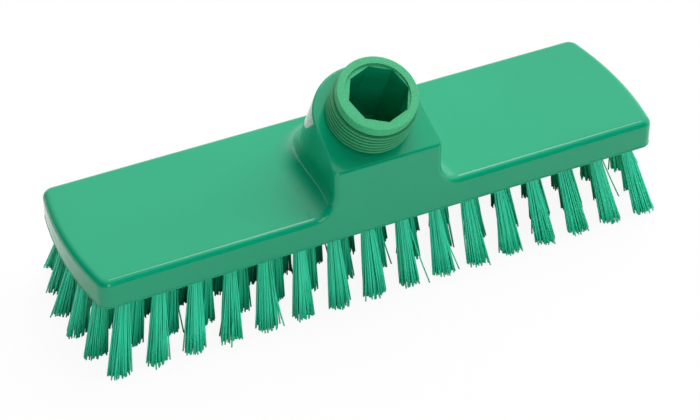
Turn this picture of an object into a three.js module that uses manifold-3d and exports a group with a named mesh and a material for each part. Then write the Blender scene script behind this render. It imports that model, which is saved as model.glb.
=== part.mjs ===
// A floor scrub brush head. One moulded block carries a handle socket that leans to the front,
// and six staggered rows of bristle tufts fan out from the block's underside to all four sides.
// Millimetres, +Z up, +X along the block, the socket's mouth towards -Y.
// The origin lies on the floor, under the middle of the bristles.
import * as THREE from 'three';
import { mergeVertices } from 'three/addons/utils/BufferGeometryUtils.js';
import Module from 'manifold-3d';

const wasm = await Module();
wasm.setup();

// Block
const BLOCK_LENGTH = 225;
const BLOCK_WIDTH = 60;
const BLOCK_THICKNESS = 11.8;
const BLOCK_END_BOW = 3.4; // how far the middle of an end stands past its corners
const BLOCK_CORNER_RADIUS = 5;
const TOP_EDGE_RADIUS = 2.1;
const BOTTOM_EDGE_CHAMFER = 0.6;

// Octagonal bore for the handle, and the collar round it
const BORE_SIDES = 8;
const BORE_ACROSS_FLATS = 20.8;
const BORE_TURN = 3.75; // degrees that its corners stand turned, clockwise seen from the mouth
const BORE_DEPTH = 35.8; // from the collar's end face
const MOUTH_STEP = 0.4; // round relief at the mouth, past the bore's corners
const MOUTH_DEPTH = 1.5;
const COLLAR_WALL = 3.5; // thinnest, at the bore's corners
const COLLAR_HEIGHT = 17.4;
const COLLAR_LEAD = 0.5; // chamfer round the collar's end
const COLLAR_BAND = 3.8; // plain band between the thread and the chamfer
const THREAD_HEIGHT = 0.95; // how far the thread stands out past the plain band

// Hub: the raised seat that the collar stands on, flush with the block's front
const SOCKET_TILT = 28.4; // degrees that the socket leans to the front
const HUB_FRONT_HEIGHT = 17.8; // block top to the front edge of the slanted face
const HUB_FRONT_LEDGE = 2.75; // front edge of the slanted face to the thread
const HUB_SIDE_LEDGE = 4.9; // thread to the hub's walls, at the sides and the back
const HUB_FLARE = 1.2; // how far the front corners stand out past the side walls
const HUB_FLARE_REACH = 14; // how far back from the front the flare runs out
const HUB_RIM_RADIUS = 1.2;
const HUB_FILLET_RADIUS = 6.5; // hollow round between the hub's walls and the block's top

// Bristles
const BRISTLE_LENGTH = 27.3; // block's underside to the floor
const ROW_TUFTS = [16, 17, 18, 17, 18, 17]; // front to back: odd after even staggers the rows
const ROWS_PER_BED = 2;
const FIELD_END_BOW = 6; // how much further in the outer rows end
const LEAN_AT_ENDS = 13; // degrees outwards, at the ends of the rows
const LEAN_AT_SIDES = 16; // degrees outwards, in the outer rows
const STRANDS_PER_TUFT = 4;
const STRAND_SIDES = 4;
const ROOT_SPREAD = 1.6; // tuft's axis to a strand, at the block
const TIP_SPREAD = 3.6; // the same, at the floor
const ROOT_STRAND_RADIUS = 0.9;
const TIP_STRAND_RADIUS = 1;

// Tuft beds: the slices of the block's underside that hold the tufts
const RIM_WALL = 1.4; // block wall left standing round the beds
const BED_THICKNESS = 3;
const BED_CLEARANCE = 0.3;
const BED_SIDE_MARGIN = 0.3; // bed's long edges to the outer tufts
const BED_END_MARGIN = 2; // bed's ends to the last tufts of the middle rows

// Smoothness of the round forms
const CORNER_STEPS = 6;
const END_STEPS = 8;
const EDGE_STEPS = 3;
const FILLET_STEPS = 5;
const FLARE_STEPS = 4;
const HUB_BACK_STEPS = 20;
const COLLAR_SEGMENTS = 40;

const MARGIN = 2; // how far a cutting or joining body runs past the surface it works on

const underside = BRISTLE_LENGTH;
const blockTop = underside + BLOCK_THICKNESS;
const front = -BLOCK_WIDTH / 2;
const tilt = THREE.MathUtils.degToRad(SOCKET_TILT);
const boreCornerRadius = BORE_ACROSS_FLATS / 2 / Math.cos(Math.PI / BORE_SIDES);
const collarRadius = boreCornerRadius + COLLAR_WALL;
const threadRadius = collarRadius + THREAD_HEIGHT;
const hubHalfWidth = threadRadius + HUB_SIDE_LEDGE;

// The collar's foot: where the socket's axis crosses the slanted face
const footSetback = HUB_FRONT_LEDGE + threadRadius;
const footY = front + footSetback * Math.cos(tilt);
const footZ = blockTop + HUB_FRONT_HEIGHT + footSetback * Math.sin(tilt);
const socketFrame = new THREE.Matrix4().makeRotationX(tilt).setPosition(0, footY, footZ);

// Closed body through a stack of rings that all hold the same number of points,
// each ring running anticlockwise seen from above, the lowest ring first.
function loft(rings) {
  const count = rings[0].length;
  const positions = rings.flat().flatMap((point) => point.toArray());
  const index = [];
  for (let level = 0; level < rings.length - 1; level++) {
    for (let j = 0; j < count; j++) {
      const low = level * count + j;
      const lowNext = level * count + ((j + 1) % count);
      index.push(low, lowNext, lowNext + count, low, lowNext + count, low + count);
    }
  }
  const last = (rings.length - 1) * count;
  for (const [a, b, c] of THREE.ShapeUtils.triangulateShape(flatten(rings[0]), [])) {
    index.push(c, b, a);
  }
  for (const [a, b, c] of THREE.ShapeUtils.triangulateShape(flatten(rings.at(-1)), [])) {
    index.push(last + a, last + b, last + c);
  }
  const geometry = new THREE.BufferGeometry();
  geometry.setAttribute('position', new THREE.Float32BufferAttribute(positions, 3));
  geometry.setIndex(index);
  return geometry;
}

function flatten(ring) {
  return ring.map((point) => new THREE.Vector2(point.x, point.y));
}

// Solid for joining and cutting, from a closed geometry
function solidOf(geometry) {
  const bare = geometry.clone();
  bare.deleteAttribute('normal');
  bare.deleteAttribute('uv');
  const merged = mergeVertices(bare);
  return new wasm.Manifold(new wasm.Mesh({
    numProp: 3,
    vertProperties: new Float32Array(merged.attributes.position.array),
    triVerts: new Uint32Array(merged.index.array),
  }));
}

function geometryOf(solid) {
  const mesh = solid.getMesh();
  const geometry = new THREE.BufferGeometry();
  geometry.setAttribute('position', new THREE.BufferAttribute(mesh.vertProperties, 3));
  geometry.setIndex(new THREE.BufferAttribute(mesh.triVerts, 1));
  return geometry;
}

function boxSolid(low, high) {
  const size = high.clone().sub(low);
  const box = new THREE.BoxGeometry(size.x, size.y, size.z);
  const middle = low.clone().add(high).multiplyScalar(0.5);
  return solidOf(box.translate(middle.x, middle.y, middle.z));
}

function arc(centreX, centreY, radius, from, to, steps) {
  return Array.from({ length: steps + 1 }, (unused, i) => {
    const angle = from + ((to - from) * i) / steps;
    return new THREE.Vector2(centreX + radius * Math.cos(angle), centreY + radius * Math.sin(angle));
  });
}

// Plan of the block, moved inwards by an inset: straight sides, bowed ends, round corners
function blockOutline(inset) {
  const halfWidth = BLOCK_WIDTH / 2;
  const endRadius = (halfWidth ** 2 + BLOCK_END_BOW ** 2) / (2 * BLOCK_END_BOW);
  const endCentre = BLOCK_LENGTH / 2 - endRadius;
  const cornerY = halfWidth - BLOCK_CORNER_RADIUS;
  const reach = Math.sqrt((endRadius - BLOCK_CORNER_RADIUS) ** 2 - cornerY ** 2);
  const cornerX = endCentre + reach;
  const turn = Math.atan2(cornerY, reach);
  const cornerRadius = BLOCK_CORNER_RADIUS - inset;
  const right = [
    ...arc(cornerX, -cornerY, cornerRadius, -Math.PI / 2, -turn, CORNER_STEPS),
    ...arc(endCentre, 0, endRadius - inset, -turn, turn, END_STEPS).slice(1, -1),
    ...arc(cornerX, cornerY, cornerRadius, turn, Math.PI / 2, CORNER_STEPS),
  ];
  const left = right.map((point) => new THREE.Vector2(-point.x, -point.y));
  return [...right, ...left];
}

function blockRing(inset, z) {
  return blockOutline(inset).map((point) => new THREE.Vector3(point.x, point.y, z));
}

// Flat slab with chamfered lower edges and rounded upper edges
function slab() {
  const rings = [
    blockRing(BOTTOM_EDGE_CHAMFER, underside),
    blockRing(0, underside + BOTTOM_EDGE_CHAMFER),
  ];
  for (const angle of quarterTurn(EDGE_STEPS)) {
    const inset = TOP_EDGE_RADIUS * (1 - Math.cos(angle));
    const drop = TOP_EDGE_RADIUS * (1 - Math.sin(angle));
    rings.push(blockRing(inset, blockTop - drop));
  }
  return solidOf(loft(rings));
}

// Even steps through a quarter turn, in radians
function quarterTurn(steps) {
  return Array.from({ length: steps + 1 }, (unused, i) => (i / steps) * (Math.PI / 2));
}

// Turns of the hub's rounded front corners, from the front face to the side wall,
// and of the right half of its round back, from the side wall to the middle
const cornerTurns = quarterTurn(EDGE_STEPS);
const backTurns = quarterTurn(HUB_BACK_STEPS / 2);

// Closes the right half of a ring, from the front to the middle of the back, with its mirror image
function mirrored(rightHalf) {
  const leftHalf = rightHalf.slice(0, -1).map((point) => new THREE.Vector3(-point.x, point.y, point.z));
  return [...rightHalf, ...leftHalf.reverse()];
}

// How far the hub's walls stand out near its front corners
function flareAt(y) {
  return HUB_FLARE * Math.max(0, 1 - (y - front) / HUB_FLARE_REACH) ** 2;
}

// Places along a side wall, from its rounded front corner to the end of the flare
const flarePlaces = Array.from({ length: FLARE_STEPS }, (unused, i) => {
  const share = (i + 1) / FLARE_STEPS;
  return front + TOP_EDGE_RADIUS + share * (HUB_FLARE_REACH - TOP_EDGE_RADIUS);
});

// Half width of the hub at a height above the block's top, along its hollow fillet.
// A depth moves the curve into the hub, as the rounded front edge does.
function halfWidthAt(height, depth) {
  if (height >= HUB_FILLET_RADIUS) return hubHalfWidth - depth;
  const below = HUB_FILLET_RADIUS - height;
  const bulge = Math.sqrt(Math.max(0, (HUB_FILLET_RADIUS + depth) ** 2 - below ** 2));
  return hubHalfWidth + HUB_FILLET_RADIUS - bulge;
}

// How far the fillet stands out behind the hub, where the wall leans forwards
function backFillet(height) {
  const reach = HUB_FILLET_RADIUS * Math.tan((Math.PI / 2 - tilt) / 2);
  const below = HUB_FILLET_RADIUS - Math.max(0, height);
  const edge = reach - Math.sqrt(Math.max(0, HUB_FILLET_RADIUS ** 2 - below ** 2));
  const wall = -Math.max(0, height) * Math.tan(tilt);
  return Math.max(0, edge - wall);
}

// Level section through the hub, with its fillet
function hubRing(height) {
  const z = blockTop + height;
  const axisY = footY - Math.tan(tilt) * (z - footZ);
  const backRadius = hubHalfWidth / Math.cos(tilt);
  const sideFillet = halfWidthAt(height, 0) - hubHalfWidth;
  const rightHalf = cornerTurns.map((turn) => {
    const depth = TOP_EDGE_RADIUS * (1 - Math.sin(turn));
    const y = front + TOP_EDGE_RADIUS * (1 - Math.cos(turn));
    return new THREE.Vector3(halfWidthAt(height, depth) + flareAt(y), y, z);
  });
  for (const y of flarePlaces) {
    rightHalf.push(new THREE.Vector3(halfWidthAt(height, 0) + flareAt(y), y, z));
  }
  for (const turn of backTurns) {
    const share = Math.sin(turn) ** 2;
    const fillet = (1 - share) * sideFillet + share * backFillet(height);
    const normal = new THREE.Vector2(Math.cos(turn), Math.sin(turn) * Math.cos(tilt)).normalize();
    const x = hubHalfWidth * Math.cos(turn) + fillet * normal.x;
    const y = axisY + backRadius * Math.sin(turn) + fillet * normal.y;
    rightHalf.push(new THREE.Vector3(x, y, z));
  }
  return mirrored(rightHalf);
}

// Section through the hub square to the socket's axis, a depth below the slanted face
function hubRimRing(depth, inset) {
  const cornerRadius = TOP_EDGE_RADIUS - inset;
  const radius = hubHalfWidth - inset;
  const atPlane = (x, y) => {
    const z = footZ + ((y - footY) * Math.sin(tilt) - depth) / Math.cos(tilt);
    return new THREE.Vector3(x + flareAt(y), y, z);
  };
  const rightHalf = cornerTurns.map((turn) => {
    const x = hubHalfWidth - TOP_EDGE_RADIUS + cornerRadius * Math.sin(turn);
    return atPlane(x, front + TOP_EDGE_RADIUS - cornerRadius * Math.cos(turn));
  });
  for (const y of flarePlaces) rightHalf.push(atPlane(radius, y));
  for (const turn of backTurns) {
    const point = new THREE.Vector3(radius * Math.cos(turn), radius * Math.sin(turn), -depth);
    rightHalf.push(point.applyMatrix4(socketFrame));
  }
  return mirrored(rightHalf);
}

// Hub with its hollow fillet, rounded front corners and rounded rim
function hub() {
  const heights = [-TOP_EDGE_RADIUS - MARGIN];
  for (let i = 0; i < EDGE_STEPS; i++) heights.push(-TOP_EDGE_RADIUS * (1 - i / EDGE_STEPS));
  for (const angle of quarterTurn(FILLET_STEPS)) heights.push(HUB_FILLET_RADIUS * (1 - Math.cos(angle)));
  const rings = heights.map(hubRing);
  for (const angle of quarterTurn(EDGE_STEPS)) {
    const inset = HUB_RIM_RADIUS * (1 - Math.cos(angle));
    const depth = HUB_RIM_RADIUS * (1 - Math.sin(angle));
    rings.push(hubRimRing(depth, inset));
  }
  return solidOf(loft(rings));
}

// Body turned about the socket's axis, from (radius, height over the slanted face) pairs
function turned(profile, segments, start = 0) {
  const points = profile.map(([radius, height]) => new THREE.Vector2(radius, height));
  const geometry = new THREE.LatheGeometry(points, segments, start).rotateX(Math.PI / 2);
  return solidOf(geometry.applyMatrix4(socketFrame));
}

// Collar: the thread's cylinder, a plain band above it and the chamfered end
function collar() {
  const threadEnd = COLLAR_HEIGHT - COLLAR_LEAD - COLLAR_BAND;
  return turned([
    [0, -MARGIN],
    [threadRadius, -MARGIN],
    [threadRadius, threadEnd],
    [collarRadius, threadEnd],
    [collarRadius, COLLAR_HEIGHT - COLLAR_LEAD],
    [collarRadius - COLLAR_LEAD, COLLAR_HEIGHT],
    [0, COLLAR_HEIGHT],
  ], COLLAR_SEGMENTS);
}

function boreCutter() {
  return turned([
    [0, COLLAR_HEIGHT - BORE_DEPTH],
    [boreCornerRadius, COLLAR_HEIGHT - BORE_DEPTH],
    [boreCornerRadius, COLLAR_HEIGHT + MARGIN],
    [0, COLLAR_HEIGHT + MARGIN],
  ], BORE_SIDES, -THREE.MathUtils.degToRad(BORE_TURN));
}

function mouthCutter() {
  const mouthRadius = boreCornerRadius + MOUTH_STEP;
  return turned([
    [0, COLLAR_HEIGHT - MOUTH_DEPTH],
    [mouthRadius, COLLAR_HEIGHT - MOUTH_DEPTH],
    [mouthRadius, COLLAR_HEIGHT + MARGIN],
    [0, COLLAR_HEIGHT + MARGIN],
  ], COLLAR_SEGMENTS);
}

// Recess in the underside that the tuft beds sit in
function bedRecess() {
  const depth = BED_THICKNESS + BED_CLEARANCE;
  return solidOf(loft([blockRing(RIM_WALL, underside - MARGIN), blockRing(RIM_WALL, underside + depth)]));
}

function brushBlock() {
  return slab().add(hub()).add(collar()).subtract(boreCutter()).subtract(mouthCutter()).subtract(bedRecess());
}

// Places of the rows and tufts
const bedInset = RIM_WALL + BED_CLEARANCE;
const tuftRootRadius = ROOT_SPREAD + ROOT_STRAND_RADIUS;
const outerRowY = BLOCK_WIDTH / 2 - bedInset - BED_SIDE_MARGIN - tuftRootRadius;
const rowPitch = (2 * outerRowY) / (ROW_TUFTS.length - 1);
const middleRowEnd = BLOCK_LENGTH / 2 - bedInset - BED_END_MARGIN - tuftRootRadius;
const strandRootDepth = BED_THICKNESS / 2;

function tuftRoots(row) {
  const y = -outerRowY + row * rowPitch;
  const rowEnd = middleRowEnd - FIELD_END_BOW * (y / outerRowY) ** 2;
  const gaps = ROW_TUFTS[row] - 1;
  return Array.from({ length: gaps + 1 }, (unused, i) => new THREE.Vector2(rowEnd * ((2 * i) / gaps - 1), y));
}

// One strand of a tuft: a slim rod from its bed to the floor, cut off level
function strand(root, direction) {
  const leanX = THREE.MathUtils.degToRad((LEAN_AT_ENDS * root.x) / middleRowEnd);
  const leanY = THREE.MathUtils.degToRad((LEAN_AT_SIDES * root.y) / outerRowY);
  const tilted = new THREE.Vector2(Math.tan(leanX), Math.tan(leanY));
  const ringAt = (z, radius, spread) => {
    const centre = root.clone().addScaledVector(tilted, underside - z).addScaledVector(direction, spread);
    const corners = arc(centre.x, centre.y, radius, 0, 2 * Math.PI, STRAND_SIDES).slice(0, -1);
    return corners.map((corner) => new THREE.Vector3(corner.x, corner.y, z));
  };
  const widening = (TIP_SPREAD - ROOT_SPREAD) / BRISTLE_LENGTH;
  return solidOf(loft([
    ringAt(0, TIP_STRAND_RADIUS, TIP_SPREAD),
    ringAt(underside + strandRootDepth, ROOT_STRAND_RADIUS, ROOT_SPREAD - widening * strandRootDepth),
  ]));
}

// Two rows of tufts on their slice of the block's underside
function bristleBed(firstRow) {
  const plan = loft([blockRing(bedInset, underside), blockRing(bedInset, underside + BED_THICKNESS)]);
  const edgeBefore = -outerRowY + (firstRow - 0.5) * rowPitch;
  const edgeAfter = edgeBefore + ROWS_PER_BED * rowPitch;
  const isFirst = firstRow === 0;
  const isLast = firstRow + ROWS_PER_BED === ROW_TUFTS.length;
  const low = new THREE.Vector3(-BLOCK_LENGTH, edgeBefore + BED_CLEARANCE / 2, underside - MARGIN);
  const high = new THREE.Vector3(BLOCK_LENGTH, edgeAfter - BED_CLEARANCE / 2, blockTop);
  if (isFirst) low.y = -BLOCK_WIDTH;
  if (isLast) high.y = BLOCK_WIDTH;
  let bed = solidOf(plan).intersect(boxSolid(low, high));
  for (let row = firstRow; row < firstRow + ROWS_PER_BED; row++) {
    for (const root of tuftRoots(row)) {
      for (let i = 0; i < STRANDS_PER_TUFT; i++) {
        const angle = (i * 2 * Math.PI) / STRANDS_PER_TUFT;
        bed = bed.add(strand(root, new THREE.Vector2(Math.cos(angle), Math.sin(angle))));
      }
    }
  }
  return bed;
}

const mouldedGreen = new THREE.MeshStandardMaterial({ color: 0x34a67c, roughness: 0.3, metalness: 0 });
const filamentGreen = new THREE.MeshStandardMaterial({ color: 0x1f9a72, roughness: 0.5, metalness: 0 });

function part(name, solid, material) {
  const mesh = new THREE.Mesh(geometryOf(solid), material);
  mesh.name = name;
  return mesh;
}

const brushHead = new THREE.Group();
brushHead.add(part('brush_block', brushBlock(), mouldedGreen));
['front_bristle_rows', 'middle_bristle_rows', 'back_bristle_rows'].forEach((name, i) => {
  brushHead.add(part(name, bristleBed(i * ROWS_PER_BED), filamentGreen));
});

export default brushHead;
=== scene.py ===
"""Looks of a floor scrub brush head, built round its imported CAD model.

One moulded block with a threaded handle socket, six rows of bristle tufts that fan out
to all four sides, and the wire anchors that hold the tufts in their holes.
Metres, +Z up, +X along the block, the socket's mouth towards -Y.
"""

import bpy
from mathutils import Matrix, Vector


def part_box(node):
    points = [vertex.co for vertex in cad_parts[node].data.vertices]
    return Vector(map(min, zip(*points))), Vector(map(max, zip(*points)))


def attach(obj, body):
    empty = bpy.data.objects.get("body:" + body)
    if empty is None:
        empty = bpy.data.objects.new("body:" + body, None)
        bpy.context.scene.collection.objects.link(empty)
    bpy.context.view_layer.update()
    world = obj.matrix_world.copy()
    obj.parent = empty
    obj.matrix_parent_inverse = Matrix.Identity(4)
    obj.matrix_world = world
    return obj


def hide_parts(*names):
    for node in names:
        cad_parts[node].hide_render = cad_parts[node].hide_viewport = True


bl_info = {
    "name": "Scrub Brush Head",
    "version": (1, 0, 0),
    "blender": (4, 5, 0),
    "location": "View3D > Sidebar > Scrub Brush",
    "description": "Builds a floor scrub brush head with its socket, tufts and anchors",
    "category": "Add Mesh",
}

import math
from functools import partial

import bmesh
import bpy
from bpy.props import FloatProperty, FloatVectorProperty, IntProperty, IntVectorProperty, PointerProperty
from mathutils import Matrix, Vector
from mathutils.geometry import tessellate_polygon

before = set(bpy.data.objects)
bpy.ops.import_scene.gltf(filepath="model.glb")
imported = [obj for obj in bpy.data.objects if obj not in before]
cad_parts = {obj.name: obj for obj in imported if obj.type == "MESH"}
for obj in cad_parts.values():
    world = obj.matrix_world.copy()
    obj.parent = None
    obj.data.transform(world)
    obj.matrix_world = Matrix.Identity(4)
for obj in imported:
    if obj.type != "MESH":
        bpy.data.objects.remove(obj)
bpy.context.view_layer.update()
BLOCK_LOW, BLOCK_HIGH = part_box("brush_block")

MM = 0.001
BODY = "root"
GOLDEN_ANGLE = math.pi * (3 - math.sqrt(5))

# Steps of the round forms
EDGE_STEPS = 10
CORNER_STEPS = 20
END_STEPS = 32
FILLET_STEPS = 14
FLARE_STEPS = 8
HUB_BACK_STEPS = 64
COLLAR_STEPS = 96
LEAD_STEPS = 4
HOLE_STEPS = 14
BORE_SIDES = 8
TURN_STEPS = 72  # in one turn of the thread
RIDGE_EDGE_STEPS = 3
ROD_SIDES = 5
ROD_STEPS = 4
WIRE_EDGE_STEPS = 2

BACK_REACH = 0.8 * MM  # how far the block's back face stands past the CAD model's

# Thread
THREAD_SINK = 0.3 * MM  # how deep the ridge is set into the collar
THREAD_EDGE = 0.2 * MM  # radius of the ridge's rounded edges
THREAD_FADE = 0.04  # share of the ridge's length over which each end sinks away
THREAD_END = 0.1  # share of the ridge's size that is left at its very ends
CREST_TONE = 0.22  # share of the grooves' painted shade on the crest

# Tufts and anchors
ROOT_GAP = 0.6 * MM  # a hole's blind end down to the roots of the filaments
TRIM_BIAS = 1.6  # above 1, so that most tips come close to the floor
SEED_STEP = 10  # from one pair of rows to the next
ANCHOR_DROP = 1.6 * MM  # a hole's blind end down to its anchor
ANCHOR_BITE = 0.4 * MM  # how much longer an anchor is than its hole is wide
ANCHOR_EDGE = 0.4  # rounded edge as a share of the wire's thickness

# Stage
FLOOR_REACH = 4
FLOOR_WHITE = 0.92  # share of plain white in the floor as it is seen straight
ROOM_FRONT = (-0.55, -0.25)  # Y of a direction: dark below the first, white above the second
ROOM_LEFT = (-0.72, 0.02)  # X of a direction, likewise
LIGHT_AIM = (0, 0, 0.04)
SENSOR_WIDTH = 36  # in millimetres
CAMERA_CLIP = (0.01, 50)

WELD = 0.002 * MM
SHARP_ANGLE = math.radians(28)
GLOSSY, TEXTURED = 0, 1  # the block's material slots

MATH = "ShaderNodeMath"
VECTOR_MATH = "ShaderNodeVectorMath"
COMBINE = "ShaderNodeCombineXYZ"
SOCKET_TYPES = {
    int: "NodeSocketInt",
    float: "NodeSocketFloat",
    tuple: "NodeSocketVector",
    bpy.types.Material: "NodeSocketMaterial",
}


def linear(hex_colour):
    """Linear RGB of an sRGB hex value such as "1f9a72"."""
    channels = [int(hex_colour[i : i + 2], 16) / 255 for i in (0, 2, 4)]
    return tuple(c / 12.92 if c <= 0.04045 else ((c + 0.055) / 1.055) ** 2.4 for c in channels)


def amount(name, description, default, **more):
    """A number that a user may change."""
    return FloatProperty(name=name, description=description, default=default, **more)


def distance(name, description, default):
    """A length that a user may change, in metres."""
    return amount(name, description, default, subtype="DISTANCE", unit="LENGTH")


def angle(name, description, degrees):
    """An angle that a user may change."""
    return amount(name, description, math.radians(degrees), subtype="ANGLE", unit="ROTATION")


def distances(name, description, default):
    """A place or a pair of sides that a user may change, in metres."""
    return FloatVectorProperty(
        name=name, description=description, default=default, size=len(default), subtype="XYZ", unit="LENGTH"
    )


def colour(name, description, hex_colour):
    """A colour that a user may change."""
    return FloatVectorProperty(
        name=name, description=description, default=linear(hex_colour), size=3, min=0, max=1, subtype="COLOR"
    )


class BlockSizes(bpy.types.PropertyGroup):
    length: distance("Length", "Block, end to end", BLOCK_HIGH.x - BLOCK_LOW.x)
    front: distance("Front", "Middle of the bristles to the block's front face", BLOCK_HIGH.y)
    back: distance("Back", "Middle of the bristles to the block's back face", BLOCK_HIGH.y + BACK_REACH)
    underside: distance("Underside", "Floor to the block's underside", BLOCK_LOW.z)
    thickness: distance("Thickness", "Underside to the flat top", 11.8 * MM)
    end_bow: distance("End bow", "How far the middle of an end stands past its corners", 3.4 * MM)
    corner_radius: distance("Corner radius", "Round of the four upright corners", 4.5 * MM)
    top_edge: distance("Top edge", "Radius of the rounded upper edge", 2.8 * MM)
    bottom_edge: distance("Bottom edge", "Chamfer of the lower edge", 0.5 * MM)
    lip_height: distance("Lip height", "Underside to the parting lip", 1.1 * MM)
    lip_reach: distance("Lip reach", "How far the parting lip stands out", 0.12 * MM)


class SocketSizes(bpy.types.PropertyGroup):
    tilt: angle("Tilt", "How far the socket leans to the front", 28.4)
    bore_across_flats: distance("Bore across flats", "Octagonal bore for the handle", 20.8 * MM)
    bore_turn: angle("Bore turn", "How far the bore stands turned, clockwise seen from the mouth", 3.75)
    bore_bottom: distance("Bore bottom", "Slanted face down to the bottom of the bore", 18.4 * MM)
    mouth_step: distance("Mouth step", "Round relief past the bore's corners", 0.65 * MM)
    mouth_depth: distance("Mouth depth", "Depth of the round relief", 1 * MM)
    collar_wall: distance("Collar wall", "Bore's corners to the plain band", 3.5 * MM)
    collar_shift: distance("Collar shift", "How far the bore's core stood off the collar's middle", 0.6 * MM)
    collar_height: distance("Collar height", "Slanted face to the end face", 16.9 * MM)
    collar_lead: distance("Collar lead", "Rounded edge of the end face", 0.5 * MM)
    collar_band: distance("Collar band", "Plain band between the thread and the rounded edge", 3.3 * MM)
    thread_height: distance("Thread height", "How far the thread stands out past the plain band", 0.95 * MM)
    thread_depth: distance("Thread depth", "Crest to root", 1.9 * MM)
    thread_pitch: distance("Thread pitch", "Crest to crest", 2 * MM)
    thread_foot: distance("Thread foot", "Width of the ridge at its root", 1.2 * MM)
    thread_crest: distance("Thread crest", "Width of the ridge at its crest", 1 * MM)
    thread_start: distance("Thread start", "Slanted face to the start of the ridge", 0.55 * MM)
    thread_turns: amount("Thread turns", "Turns of the ridge", 6.28, min=1)
    hub_front_height: distance("Hub height", "Block top to the slanted face's front edge", 17.8 * MM)
    hub_front_ledge: distance("Front ledge", "Slanted face's front edge to the thread", 2.75 * MM)
    hub_side_ledge: distance("Side ledge", "Thread to the hub's walls", 4.9 * MM)
    hub_flare: distance("Hub flare", "How far the front corners stand out past the walls", 1.2 * MM)
    hub_flare_reach: distance("Flare reach", "Front to where the flare runs out", 14 * MM)
    hub_rim: distance("Hub rim", "Radius of the slanted face's rounded edge", 0.8 * MM)
    hub_fillet: distance("Hub fillet", "Hollow round between the hub's sides and the block", 8 * MM)
    hub_back_fillet: distance("Hub back fillet", "Hollow round behind the hub", 6.5 * MM)


class TuftSizes(bpy.types.PropertyGroup):
    row_counts: IntVectorProperty(
        name="Row counts",
        description="Tufts in each row, front to back",
        default=(16, 17, 18, 17, 18, 17),
        size=6,
    )
    outer_row: distance("Outer row", "Middle of the block to the outer rows", 25.5 * MM)
    middle_row_end: distance("Middle row end", "Middle of the block to a middle row's last tuft", 106.3 * MM)
    field_end_bow: distance("Field end bow", "How much further in the outer rows end", 6 * MM)
    lean_at_ends: angle("Lean at ends", "Outward lean at the ends of the rows", 13)
    lean_at_sides: angle("Lean at sides", "Outward lean in the outer rows", 15.5)
    hole_radius: distance("Hole radius", "Holes that hold the tufts", 2.6 * MM)
    hole_depth: distance("Hole depth", "Underside to the bottom of a hole", 7.4 * MM)
    filaments: IntProperty(name="Filaments", description="Filament ends in a tuft", default=76, min=3)
    filament_diameter: distance("Filament diameter", "Extruded filament", 0.58 * MM)
    root_spread: distance("Root spread", "Bundle's radius at the anchor", 1.4 * MM)
    tip_spread: distance("Tip spread", "Bundle's half width at the floor, along its row", 4.2 * MM)
    tip_depth: distance("Tip depth", "Bundle's half width at the floor, across its row", 2.7 * MM)
    tip_jitter: distance("Tip jitter", "How far a tip strays inside its bundle", 0.55 * MM)
    unevenness: distance("Unevenness", "Longest to shortest trimmed tip", 1.1 * MM)
    stray_share: amount("Stray share", "Share of filaments that stand out", 0.05, subtype="FACTOR")
    stray_reach: distance("Stray reach", "How far a stray filament's tip stands out", 3.8 * MM)
    bow: distance("Bow", "Most that a filament bends along its length", 0.35 * MM)
    seed: IntProperty(name="Seed", description="Seed of the filaments' small differences", default=11)
    anchor_width: distance("Anchor width", "Flat anchor wire, its wide side", 1.6 * MM)
    anchor_thickness: distance("Anchor thickness", "Flat anchor wire, its narrow side", 0.45 * MM)


class FinishColours(bpy.types.PropertyGroup):
    block: colour("Block", "Moulded block", "06ac7e")
    block_deep: colour("Block, deep", "Slow colour drift in the moulding", "04a174")
    collar: colour("Collar", "Spark-textured collar", "40c487")
    collar_low: colour("Collar, grain", "Low spots of the collar's grain", "33ac72")
    # Painted shade, darkening the thread towards its grooves
    groove: colour("Groove", "Deep in the thread's grooves", "045c37")
    filament: colour("Filament", "Bristle filament", "2cf2c6")
    filament_deep: colour("Filament, deep", "Darkest filaments of a tuft", "1cdaa9")
    wire: colour("Wire", "Stainless anchor wire", "b9bab6")
    floor: colour("Floor", "Plain pale floor", "f4f4f2")


class StageSizes(bpy.types.PropertyGroup):
    camera_place: distances("Camera", "Where the camera stands", (-0.29335, -0.62039, 0.55633))
    camera_turn: angle("Camera turn", "Round the object, from its front", -25.2095)
    camera_height: angle("Camera height", "Above the horizon", 38.369)
    camera_roll: angle("Camera roll", "About the line of sight", -0.3765)
    lens: amount("Lens", "Focal length in millimetres", 121.21, unit="CAMERA")
    softbox: amount("Softbox", "Softbox over the object, in watts", 3.1, unit="POWER")
    softbox_place: distances("Softbox place", "Where the softbox hangs", (0.37, 0.22, 1.01))
    softbox_size: distances("Softbox size", "Sides of the softbox", (0.47, 0.47))
    fill: amount("Fill", "Softbox before the object, in watts", 4.2, unit="POWER")
    fill_place: distances("Fill place", "Where the front softbox stands", (-0.2, -1.14, 0.62))
    fill_size: distances("Fill size", "Sides of the front softbox", (0.6, 0.8))
    surround: amount("Surround", "Light of the white room", 1.5)


class BrushSettings(bpy.types.PropertyGroup):
    block: PointerProperty(type=BlockSizes)
    socket: PointerProperty(type=SocketSizes)
    tufts: PointerProperty(type=TuftSizes)
    colours: PointerProperty(type=FinishColours)
    stage: PointerProperty(type=StageSizes)


# Nodes and materials


def add_node(tree, kind, settings=None, *values, **inputs):
    """Adds a node with its settings, and sets or links its inputs, by order or by name in lower case.

    A setting that is a single word is the node's operation. An input that is a node is linked from
    that node's first output in use.
    """
    node = tree.nodes.new(kind)
    if isinstance(settings, str):
        settings = {"operation": settings}
    for key, value in (settings or {}).items():
        setattr(node, key, value)
    sockets = [socket for socket in node.inputs if socket.enabled]
    named = {socket.name.lower().replace(" ", "_"): socket for socket in sockets}
    wanted = list(zip(sockets, values)) + [(named[key], value) for key, value in inputs.items()]
    for socket, value in wanted:
        if isinstance(value, bpy.types.Node):
            value = next(output for output in value.outputs if output.enabled)
        if isinstance(value, bpy.types.NodeSocket):
            tree.links.new(value, socket)
        else:
            socket.default_value = value
    return node


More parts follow.
